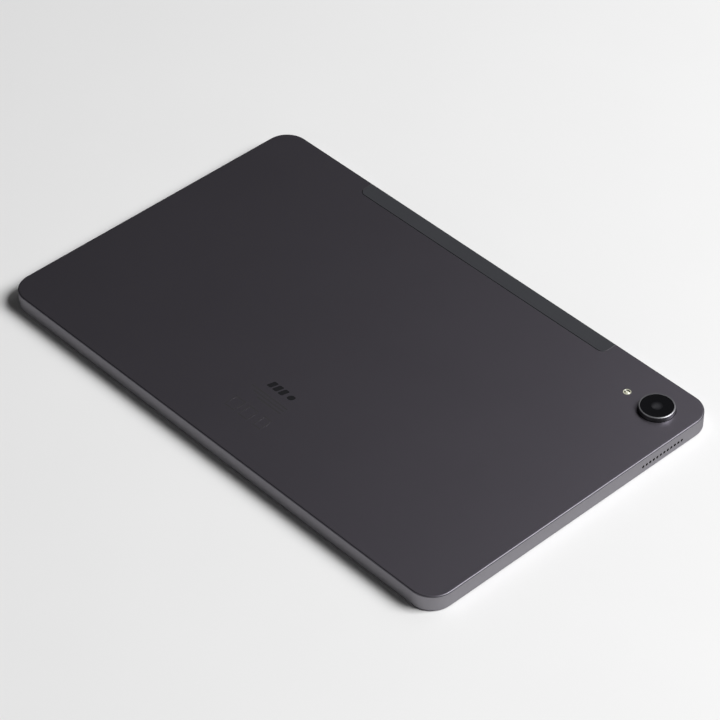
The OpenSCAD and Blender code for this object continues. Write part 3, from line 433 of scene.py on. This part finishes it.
def islands(name):
    """The lowest and highest corner of each separate solid of a CAD node."""
    work = bmesh.new()
    work.from_mesh(nodes[name].data)
    bmesh.ops.remove_doubles(work, verts=work.verts, dist=MM / 1000)
    left, found = set(work.verts), []
    while left:
        ring = [left.pop()]
        group = list(ring)
        while ring:
            near = [e.other_vert(v) for v in ring for e in v.link_edges]
            ring = [v for v in set(near) if v in left]
            left.difference_update(ring)
            group += ring
        low = Vector([min(v.co[i] for v in group) for i in range(3)])
        high = Vector([max(v.co[i] for v in group) for i in range(3)])
        found.append((low, high))
    work.free()
    return sorted(found, key=lambda pair: tuple(pair[0]))


def belongs(item, body, slot, *replaced):
    """Puts a piece on a body and hides the CAD nodes it stands for. The slot, the finish's name, is
    not used.
    """
    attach(item, body)
    if replaced:
        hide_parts(*replaced)


ceramic = Finish("ceramic_blocks", (0.45, 0.3, 0.16), 0.45)
cloud = ceramic.noise(1.5, detail=3)
ceramic.set("Base Color", ceramic.mix(cloud, (0.30, 0.19, 0.10), (0.5, 0.36, 0.2)))
ceramic.bump(ceramic.noise(0.1, detail=3), 0.01)

solder = Finish("tinned_caps", (0.7, 0.7, 0.7), 0.3, 1.0)
dimple = solder.noise(0.25, detail=3)
solder.set("Roughness", 0.2 + dimple * 0.25)
solder.set("Base Color", solder.mix(dimple, (0.6, 0.6, 0.6), (0.78, 0.77, 0.75)))
solder.bump(dimple, 0.01)

middles = [(low + high) / 2 for low, high in islands("board_passives")]
BLOCK_SHARE = 0.94
chip = Pattern("chip_part", Length=0.96 * MM, Width=0.46 * MM, Height=0.36 * MM, Cap=0.2 * MM)
block = chip.box(chip["Length"] - 2 * chip["Cap"], chip["Width"] * BLOCK_SHARE,
                 chip["Height"] * BLOCK_SHARE)
cap = chip.box(chip["Cap"], chip["Width"], chip["Height"])
reach = (chip["Length"] - chip["Cap"]) / 2
ends = chip.join(chip.moved(cap, chip.vector(reach)), chip.moved(cap, chip.vector(-reach)))
copies = [chip.painted(chip.node("GeometryNodeInstanceOnPoints", {},
                                 {"Points": chip["Geometry"], "Instance": shape}), paint)
          for shape, paint in ((block, ceramic), (ends, solder))]
passives = chip.piece("chip_parts", chip.join(*copies), middles)
belongs(passives, "tablet", "ceramic", "board_passives")


# ---------------------------------------------------------------- screws
# Blackened steel machine screws with a flat head and a cross recess. They go through the
# boards into threaded bosses under the back.

black_steel = Finish("blackened_steel", (0.08, 0.08, 0.085), 0.35, 1.0)
wear = black_steel.noise(0.5, detail=4)
black_steel.set("Base Color", black_steel.mix(wear, (0.05, 0.05, 0.055), (0.16, 0.155, 0.15)))
black_steel.set("Roughness", 0.26 + wear * 0.25)
black_steel.bump(wear, 0.01)

spots = islands("screws")
low, high = spots[0]
screw_length = high.z - low.z
heads = [((low.x + high.x) / 2, (low.y + high.y) / 2, low.z) for low, high in spots]
PITCH, CORE_SHARE = 0.25, 0.86
BLADE_L, BLADE_W, BLADE_H, BLADE_Z = 1.4 * MM, 0.28 * MM, 0.4 * MM, 0.1 * MM
screw = Pattern("screw", Shank=0.74 * MM, Head=1.35 * MM, Depth=0.5 * MM, Length=screw_length,
                Pitch=PITCH * MM, Turns=int(screw_length / MM / PITCH) - 3)
head = screw.moved(screw.rod(screw["Head"], screw["Depth"], 28),
                   screw.vector(0, 0, screw["Depth"] / 2))
blades = [screw.box(*size, BLADE_H) for size in ((BLADE_L, BLADE_W), (BLADE_W, BLADE_L))]
recess = screw.node("GeometryNodeMeshBoolean", {"operation": "DIFFERENCE", "solver": "EXACT"},
                    {"Mesh 1": head, "Self Intersection": True})
for blade in blades:
    screw.tree.links.new(screw.moved(blade, (0, 0, BLADE_Z)).socket,
                         recess.socket.node.inputs["Mesh 2"])
core_r = screw["Shank"] * CORE_SHARE
core = screw.moved(screw.rod(core_r, screw["Length"] - screw["Depth"], 16),
                   screw.vector(0, 0, (screw["Length"] + screw["Depth"]) / 2))
helix = screw.node("GeometryNodeCurveSpiral", {},
                   {"Resolution": 14, "Rotations": screw["Turns"], "Start Radius": core_r,
                    "End Radius": core_r, "Height": screw["Pitch"] * screw["Turns"]})
ridge = screw.node("GeometryNodeCurvePrimitiveCircle", {},
                   {"Resolution": 3, "Radius": 0.1 * MM})
thread = screw.node("GeometryNodeCurveToMesh", {}, {"Curve": helix, "Profile Curve": ridge,
                                                    "Fill Caps": True})
thread = screw.moved(thread, screw.vector(0, 0, screw["Depth"] + screw["Pitch"]))
whole = screw.node("GeometryNodeInstanceOnPoints", {},
                   {"Points": screw["Geometry"], "Instance": screw.join(recess, core, thread)})
screws = screw.piece("screws_cross_recess", screw.painted(whole, black_steel), heads)
belongs(screws, "tablet", "steel", "screws")


# ---------------------------------------------------------------- speakers
# Sealed black boxes at both short sides, each with a racetrack cone on a rubber surround and a
# plated magnet. Woven steel meshes keep dust out behind the two rows of holes.

moulding = Finish("black_moulding", (0.02, 0.02, 0.021), 0.5)
grain = moulding.noise(0.3, detail=4)
moulding.set("Base Color", moulding.mix(grain, (0.013, 0.013, 0.014), (0.03, 0.03, 0.032)))
moulding.set("Roughness", 0.42 + grain * 0.2)
moulding.bump(grain, 0.012)
moulding.dress("speaker_right_box", "speaker_left_box", "rear_camera_housing", "front_camera",
               "usb_tongue", "front_frame")

cone = Finish("cone_film", (0.06, 0.06, 0.065), 0.45)
x, _, _ = cone.xyz()
across = abs(abs(x) - middle_of("speaker_right_diaphragm")[0])
surround = cone.fade(across, 3.6, 3.9)
ribs = cone.noise(0.4, detail=3)
cone.set("Base Color", cone.mix(surround, (0.16, 0.16, 0.17), (0.02, 0.02, 0.02)))
cone.set("Roughness", 0.3 + surround * 0.4)
cone.bump(ribs, 0.01)
cone.dress("speaker_right_diaphragm", "speaker_left_diaphragm")

nickel = Finish("nickel_plate", (0.62, 0.6, 0.56), 0.22, 1.0)
swirl = nickel.noise(1.2, detail=4)
nickel.set("Base Color", nickel.mix(swirl, (0.54, 0.52, 0.48), (0.7, 0.68, 0.64)))
nickel.set("Roughness", 0.15 + swirl * 0.2)
nickel.dress("speaker_magnets")

wire_steel = Finish("mesh_wire", (0.05, 0.05, 0.052), 0.4, 1.0)
tint = wire_steel.noise(0.6, detail=2)
wire_steel.set("Base Color", wire_steel.mix(tint, (0.008, 0.008, 0.009), (0.03, 0.03, 0.032)))

low, high = islands("speaker_meshes")[-1]
weave = Pattern("woven_mesh", Length=high.y - low.y, Height=high.z - low.z, Pitch=0.3 * MM,
                Wire=0.05 * MM)


def woven(pattern, run, spread, phase):
    """Parallel wires that rise and fall by a wire's radius at every crossing."""
    steps = pattern.node("Math", {"operation": "FLOOR"}, {0: run / pattern["Pitch"]})
    lanes = pattern.node("Math", {"operation": "FLOOR"}, {0: spread / pattern["Pitch"]})
    index = pattern.node("GeometryNodeInputIndex")
    line = pattern.node("GeometryNodeMeshLine", {}, {"Count": steps + 1,
                                                     "Offset": pattern.vector(pattern["Pitch"])})
    rise = (index % 2 * 2 - 1) * pattern["Wire"]
    line = pattern.node("GeometryNodeSetPosition", {}, {"Geometry": line,
                                                        "Offset": pattern.vector(0, 0, rise)})
    curve = pattern.node("GeometryNodeMeshToCurve", {}, {"Mesh": line})
    profile = pattern.node("GeometryNodeCurvePrimitiveCircle", {}, {"Resolution": 5,
                                                                   "Radius": pattern["Wire"]})
    wire = pattern.node("GeometryNodeCurveToMesh", {}, {"Curve": curve, "Profile Curve": profile,
                                                        "Fill Caps": True})
    lane = pattern.node("GeometryNodeMeshLine", {}, {"Count": lanes + 1,
                                                     "Offset": pattern.vector(0, pattern["Pitch"])})
    turned = pattern.vector((index + phase) % 2 * math.pi)
    return pattern.node("GeometryNodeInstanceOnPoints", {}, {"Points": lane, "Instance": wire,
                                                             "Rotation": turned})


warp = woven(weave, weave["Length"], weave["Height"], 0)
weft = weave.moved(woven(weave, weave["Height"], weave["Length"], 1),
                   weave.vector(weave["Length"]), (0, 0, math.pi / 2))
cloth = weave.join(warp, weft)
upright = (math.pi / 2, 0, math.pi / 2)
sheets = [weave.moved(cloth, (side * (low.x + high.x) / 2, low.y, low.z), upright)
          for side in (-1, 1)]
meshes = weave.piece("speaker_meshes_woven", weave.painted(weave.join(*sheets), wire_steel))
belongs(meshes, "tablet", "mesh", "speaker_meshes")


# ---------------------------------------------------------------- cameras and flash
# The rear camera looks through a clear spot in a black printed glass, held in a turned and
# black anodised ring. The flash beside it is a moulded lens with rings over a yellow chip.

def lathe(name, profile, centre, sides, finish):
    """A ring or disc turned from a closed profile of radius and height, in millimetres."""
    mesh = bmesh.new()
    rings = []
    for radius, height in profile:
        if radius == 0:
            rings.append([mesh.verts.new((centre[0] * MM, centre[1] * MM, height * MM))])
            continue
        turns = [2 * math.pi * i / sides for i in range(sides)]
        rings.append([mesh.verts.new(((centre[0] + radius * math.cos(t)) * MM,
                                      (centre[1] + radius * math.sin(t)) * MM, height * MM))
                      for t in turns])
    closed = profile[0][0] > 0
    for first, second in zip(rings, rings[1:] + rings[:1] if closed else rings[1:]):
        for i in range(sides):
            j = (i + 1) % sides
            corners = [first[i % len(first)], first[j % len(first)],
                       second[j % len(second)], second[i % len(second)]]
            unique = list(dict.fromkeys(corners))
            if len(unique) > 2:
                mesh.faces.new(unique)
    bmesh.ops.recalc_face_normals(mesh, faces=mesh.faces)
    data = bpy.data.meshes.new(name)
    mesh.to_mesh(data)
    mesh.free()
    data.polygons.foreach_set("use_smooth", [True] * len(data.polygons))
    data.set_sharp_from_angle(angle=math.radians(28))
    item = place_piece(name, data)
    finish.dress(item)
    return item


EYE = middle_of("camera_glass")
BACK_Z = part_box("rear_cover")[1].z / MM
ring_metal = Finish("black_anodised_ring", (0.1, 0.1, 0.105), 0.26, 1.0)
x, y, z = ring_metal.xyz((*EYE, 0))
radius = (x * x + y * y) ** 0.5
LINES_PER_MM = 9
turned = ring_metal.node("CombineXYZ", {}, {"X": radius * LINES_PER_MM, "Y": z * LINES_PER_MM})
lines = ring_metal.node("TexNoise", {"noise_dimensions": "2D"},
                        {"Vector": turned, "Scale": 1.0, "Detail": 3.0})
ring_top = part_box("camera_bezel")[1].z / MM
rim = ring_metal.fade(z, ring_top - 0.27, ring_top - 0.2)
# Painted shade: the ring is painted near black below 0.2 mm above the back, standing for the dark
# gap and contact shadow at its foot.
foot_shade = 1 - ring_metal.fade(z, BACK_Z + 0.2, BACK_Z + 0.3)
wall = ring_metal.mix(lines, (0.07, 0.07, 0.073), (0.13, 0.13, 0.135))
wall = ring_metal.mix(foot_shade, wall, (0.008, 0.008, 0.009))
ring_metal.set("Base Color", ring_metal.mix(rim, wall, (0.4, 0.4, 0.42)))
ring_metal.set("Roughness", 0.3 + lines * 0.14 + rim * 0.12)
ring_metal.bump(lines, 0.003)
ring_metal.dress("camera_bezel")

CLEAR = 2.35
window = Finish("camera_window", (0.004, 0.004, 0.005), 0.04, ior=1.52)
x, y, _ = window.xyz((*EYE, 0))
radius = (x * x + y * y) ** 0.5
clear = 1 - window.fade(radius, CLEAR - 0.03, CLEAR + 0.03)
# Painted reflection: in the clear spot the glass is painted grey and lighter at its middle,
# standing for the lens's reflection seen through it.
painted_lens_sheen = window.mix(window.fade(radius, 0.5, CLEAR), (0.045, 0.045, 0.05), (0.02, 0.02, 0.023))
window.set("Base Color", window.mix(clear, (0.006, 0.006, 0.007), painted_lens_sheen))
window.set("Alpha", 1 - clear * 0.45)
window.set("Roughness", window.fade(window.noise(4, detail=4), 0.4, 0.7, 0.02, 0.06))
window.dress("camera_glass")

barrel_low, barrel_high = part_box("rear_camera_barrel")
barrel_base, barrel_top = barrel_low.z / MM, barrel_high.z / MM
barrel_r = (barrel_high.x - barrel_low.x) / 2 / MM
STOP_R, BORE_R, RIB_PITCH, RIB_DEPTH = 1.3, 2.4, 0.36, 0.12
steps = [(2.35, barrel_top)]
for i in range(5):
    inwards, down = i * 0.19, i * 0.11
    steps += [(2.3 - inwards, barrel_top - 0.05 - down),
              (2.22 - inwards, barrel_top - 0.12 - down)]
ribs = []
for i in range(7):
    rib_z = barrel_base + 0.5 + i * RIB_PITCH
    ribs += [(barrel_r, rib_z), (barrel_r, rib_z + 0.18), (barrel_r - RIB_DEPTH, rib_z + 0.24),
             (barrel_r - RIB_DEPTH, rib_z + 0.32)]
barrel_plastic = Finish("barrel_plastic", (0.06, 0.06, 0.062), 0.42)
fleck = barrel_plastic.noise(0.2, detail=4)
barrel_plastic.set("Base Color", barrel_plastic.mix(fleck, (0.05, 0.05, 0.052),
                                                    (0.09, 0.09, 0.092)))
barrel_plastic.set("Roughness", 0.34 + fleck * 0.2)
profile = ([(STOP_R, barrel_top - 1.2), (STOP_R, barrel_top - 0.6)] + steps[::-1]
           + [(barrel_r - 0.15, barrel_top), (barrel_r, barrel_top - 0.15)] + ribs[::-1]
           + [(barrel_r - RIB_DEPTH, barrel_base + 0.2), (barrel_r - 0.3, barrel_base),
              (BORE_R, barrel_base), (BORE_R, barrel_top - 1.2)])
barrel = lathe("lens_barrel_ribbed", profile, EYE, 72, barrel_plastic)
belongs(barrel, "lens_barrel", "black_plastic", "rear_camera_barrel")

DOME_R, DOME_FLATNESS, RIM_R, LENS_T = 1.25, 0.5, 1.28, 0.72
coated = Finish("coated_lens", (0.015, 0.012, 0.03), 0.03, ior=1.6, coat_weight=1.0)
x, y, _ = coated.xyz((*EYE, 0))
radius = (x * x + y * y) ** 0.5
coated.set("Base Color", coated.mix(coated.fade(radius, 0.2, 1.2),
                                    (0.03, 0.02, 0.08), (0.01, 0.05, 0.05)))
coated.set("Roughness", coated.fade(coated.noise(1), 0.3, 0.8, 0.02, 0.05))
lens_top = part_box("rear_camera_lens")[1].z / MM
dome = [(DOME_R * math.sin(a), lens_top - DOME_R * (1 - math.cos(a)) * DOME_FLATNESS)
        for a in (math.pi / 2 * i / 9 for i in range(10))]
lens = lathe("front_lens", dome + [(RIM_R, lens_top - LENS_T), (0, lens_top - LENS_T)],
             EYE, 48, coated)
belongs(lens, "lens_barrel", "lens_glass", "rear_camera_lens")

FLASH = middle_of("flash_lens")
flash_low, flash_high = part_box("flash_lens")
flash_base, flash_top = flash_low.z / MM, flash_high.z / MM
flange_r = (flash_high.x - flash_low.x) / 2 / MM
FLANGE_W, FLANGE_T, FRESNEL_PITCH = 0.6, 0.35, 0.25
flash_r = flange_r - FLANGE_W
amber = Finish("flash_lens_plastic", (0.7, 0.68, 0.5), 0.2, ior=1.49, coat_weight=0.8)
x, y, _ = amber.xyz((*FLASH, 0))
radius = (x * x + y * y) ** 0.5
# Painted light and shade: a dark crescent ring, cut open on the side toward the camera, and a paler
# middle painted as the chip's glow, though the flash is off.
ring = amber.fade(radius, 0.6, 0.75) * (1 - amber.fade(radius, 1.15, 1.3))
OPEN_X, OPEN_Y = 0.73, -0.69
open_side = amber.fade(x * OPEN_X + y * OPEN_Y, -0.1, 0.5)
chip_glow = amber.mix(amber.fade(radius, 0.3, 0.8), (0.74, 0.74, 0.6), (0.52, 0.52, 0.42))
amber.set("Base Color", amber.mix(ring * (1 - open_side), chip_glow, (0.045, 0.045, 0.03)))
amber.set("Roughness", amber.fade(radius, 0, 1.5, 0.12, 0.3))
fresnel = [(0, flash_top - 0.05), (0.3, flash_top - 0.04)]
for i in range(5):
    fresnel += [(0.42 + i * FRESNEL_PITCH, flash_top - 0.1),
                (0.52 + i * FRESNEL_PITCH, flash_top)]
outside = [(flash_r - 0.06, flash_top), (flash_r, flash_top - 0.06),
           (flash_r, flash_base + FLANGE_T), (flange_r, flash_base + FLANGE_T),
           (flange_r, flash_base), (0, flash_base)]
flash = lathe("flash_lens_ringed", fresnel + outside, FLASH, 48, amber)
belongs(flash, "tablet", "flash_plastic", "flash_lens")

phosphor = Finish("led_phosphor", (0.8, 0.7, 0.2), 0.5)
speck = phosphor.noise(0.2, detail=3)
phosphor.set("Base Color", phosphor.mix(speck, (0.75, 0.62, 0.14), (0.85, 0.78, 0.3)))
phosphor.bump(speck, 0.01)
phosphor.dress("flash_led")


# ---------------------------------------------------------------- port and card contacts
# Contact leaves of copper alloy, plated with gold, moulded into the port's tongue and the
# card reader.

gold = Finish("gold_plate", (0.9, 0.62, 0.22), 0.25, 1.0)
rub = gold.noise(0.3, stretch=(4, 1, 1), detail=3)
gold.set("Base Color", gold.mix(rub, (0.8, 0.52, 0.17), (0.98, 0.74, 0.34)))
gold.set("Roughness", 0.16 + rub * 0.24)
gold.dress("usb_contacts", "card_contacts")


# ---------------------------------------------------------------- metal back, buttons, tray door
# The back and its side walls are one aluminium part, machined, bead-blasted and anodised dark
# grey. The side walls take a lighter tone. The small rounding around the back is painted darker,
# a painted shade for the dark line along its far edges, which also dims its highlight. The walls
# of the speaker bores and of the groove by the antenna window are painted near black, a painted
# shade. The buttons and the tray's door are cut from the same stock.

metal = Finish("anodised_aluminium", (0.3, 0.29, 0.31), 0.4, 1.0,
               specular_tint=(0.25, 0.25, 0.25, 1))
x, y, z = metal.xyz()
nx, ny, nz = metal.facing()
blast = metal.noise(0.11, detail=3, rough=0.6)
cloud = metal.noise(45, detail=2)
rounding = metal.fade(nz, 0.03, 0.12) * (1 - metal.fade(nz, 0.965, 0.995))
# Painted shade: the rounding's band is painted darker, standing for the dark line that its
# reflection shows along the far edges.
shaded_edge = rounding * metal.fade(z, BACK_Z - 1.1, BACK_Z - 0.7)
tone = metal.mix(cloud, (0.285, 0.265, 0.311), (0.315, 0.293, 0.344))
tone = metal.mix(metal.fade(blast, 0.3, 0.7) * 0.35, tone, (0.36, 0.335, 0.393))
side = 1 - metal.fade(abs(nz), 0.02, 0.3)
tone = metal.mix(side, tone, (0.31, 0.301, 0.323))
tone = metal.mix(shaded_edge, tone, (0.13, 0.124, 0.142))
WALL_T, STRIP_W = 1.5, 8.6
row_low, row_high = (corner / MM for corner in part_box("speaker_meshes"))
shaded_bore = ((abs(nx) < 0.5) * (abs(x) > HALF_L - WALL_T) * (z > row_low.z) * (z < row_high.z)
        * (y > row_low.y) * (y < row_high.y))
strip_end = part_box("antenna_window")[1].x / MM
shaded_groove = ((abs(x) < strip_end) * (y > HALF_W - STRIP_W) * (abs(ny) > 0.3) * (z > BACK_Z - 1)
          * (nz < 0.2) * (y < HALF_W - WALL_T))
# Painted shade: the walls of the speaker bores and of the groove along the antenna window are
# painted near black, the bores also not metallic, standing for the shade inside them.
metal.set("Base Color", metal.mix(shaded_bore + shaded_groove, tone, (0.01, 0.01, 0.011)))
metal.set("Roughness", 0.36 + blast * 0.1 + shaded_edge * 0.08 + side * 0.18 + shaded_bore * 0.4)
metal.set("Metallic", 1 - shaded_bore)
metal.bump(blast * (1 - shaded_edge), 0.004)
metal.dress("rear_cover", "power_button", "volume_rocker", "card_tray")


# ---------------------------------------------------------------- antenna window
# A strip of glass-filled plastic in the edge of the metal, painted to match it. The aerials
# behind it need a window that radio passes through.

plastic = Finish("painted_plastic", (0.04, 0.041, 0.046), 0.5)
paint = plastic.noise(0.14, detail=3)
drift = plastic.noise(30)
_, y, z = plastic.xyz()
nx, _, nz = plastic.facing()
colour = plastic.mix(drift, (0.032, 0.033, 0.038), (0.038, 0.039, 0.044))
# Painted shade and light: the strip's faces in the groove are painted near black, and its end faces
# toward +X are painted lighter, a painted highlight.
shaded_groove = (y < HALF_W - WALL_T) * (z < BACK_Z - 0.02) * (nx < 0.4)
lit_end = (nx > 0.4) * (nz < 0.5) * (y < HALF_W - 0.5)
colour = plastic.mix(lit_end, plastic.mix(shaded_groove, colour, (0.004, 0.004, 0.005)), (0.16, 0.16, 0.17))
plastic.set("Base Color", colour)
plastic.set("Roughness", 0.42 + paint * 0.14)
plastic.bump(paint, 0.005)
plastic.dress("antenna_window")


# ---------------------------------------------------------------- printed mark
# A plain mark of slanted bars in gloss ink, with rows of faint marks under it, screen-printed
# on the back. The ink is a hundredth of a millimetre thick.

INK_T = 0.01


def slanted_bar(mesh, x0, x1, y0, y1, slant, corner):
    """A flat bar with round corners, in millimetres, that leans by slant."""
    outline = []
    for cx, cy, start in ((x1 - corner, y1 - corner, 0), (x0 + corner, y1 - corner, 90),
                          (x0 + corner, y0 + corner, 180), (x1 - corner, y0 + corner, 270)):
        for i in range(5):
            a = math.radians(start + i * 22.5)
            px, py = cx + corner * math.cos(a), cy + corner * math.sin(a)
            outline.append(((px + (py - y0) * slant) * MM, py * MM))
    low = [mesh.verts.new((*p, (BACK_Z - INK_T) * MM)) for p in outline]
    high = [mesh.verts.new((*p, (BACK_Z + INK_T) * MM)) for p in outline]
    mesh.faces.new(high)
    mesh.faces.new(low[::-1])
    for i in range(len(outline)):
        j = (i + 1) % len(outline)
        mesh.faces.new((low[i], low[j], high[j], high[i]))


def printed(name, bars, finish):
    """A piece of several bars in one ink."""
    mesh = bmesh.new()
    for bar in bars:
        slanted_bar(mesh, *bar)
    data = bpy.data.meshes.new(name)
    mesh.to_mesh(data)
    mesh.free()
    item = place_piece(name, data)
    finish.dress(item)
    belongs(item, "tablet", "black_plastic")


ink = Finish("gloss_ink", (0.012, 0.012, 0.013), 0.3)
halftone = ink.noise(0.2, detail=2)
ink.set("Base Color", ink.mix(halftone, (0.008, 0.008, 0.009), (0.018, 0.018, 0.02)))
ink.set("Roughness", 0.26 + halftone * 0.1)
LEAN = 0.25
mark = [(x0, x0 + 2.5, -42, -38, LEAN, 0.6) for x0 in (-7.4, -4.1, -0.8)]
printed("printed_mark", mark + [(3.6, 6.6, -41.5, -38.5, LEAN, 1.2)], ink)

faint = Finish("faint_ink", (0.2, 0.195, 0.21), 0.42, 1.0)
halftone = faint.noise(0.2, detail=2)
faint.set("Base Color", faint.mix(halftone, (0.23, 0.222, 0.238), (0.265, 0.255, 0.272)))
faint.set("Roughness", 0.4 + halftone * 0.08)
rows = [(x0, 9.6, y0, y0 + 0.8, 0, 0.3)
        for x0, y0 in ((-11.6, -46.4), (-8.5, -48.2), (-4.5, -50))]
STROKE = 0.6
for x0, width in ((-10.8, 6), (-2.6, 5.6), (6.2, 4.6)):
    x1 = x0 + width
    rows += [(x0, x1, -55.6, -55, 0, 0.2), (x0, x1, -62, -61.4, 0, 0.2),
             (x0, x0 + STROKE, -61.2, -55.8, 0, 0.2), (x1 - STROKE, x1, -61.2, -55.8, 0, 0.2)]
printed("printed_rows", rows, faint)


# ---------------------------------------------------------------- floor
# A plain pale table top, wide enough for every view, painted with a faint mottle.

table_top = Finish("table_top", (0.8, 0.8, 0.8), 0.6)
mottle = table_top.noise(60, detail=3)
table_top.set("Base Color", table_top.mix(mottle, (0.78, 0.78, 0.78), (0.8, 0.8, 0.8)))
bpy.ops.mesh.primitive_plane_add(size=8, location=(0, 0, -0.02 * MM))
floor = bpy.context.object
floor.name = "table"
floor.data.materials.append(table_top.material)
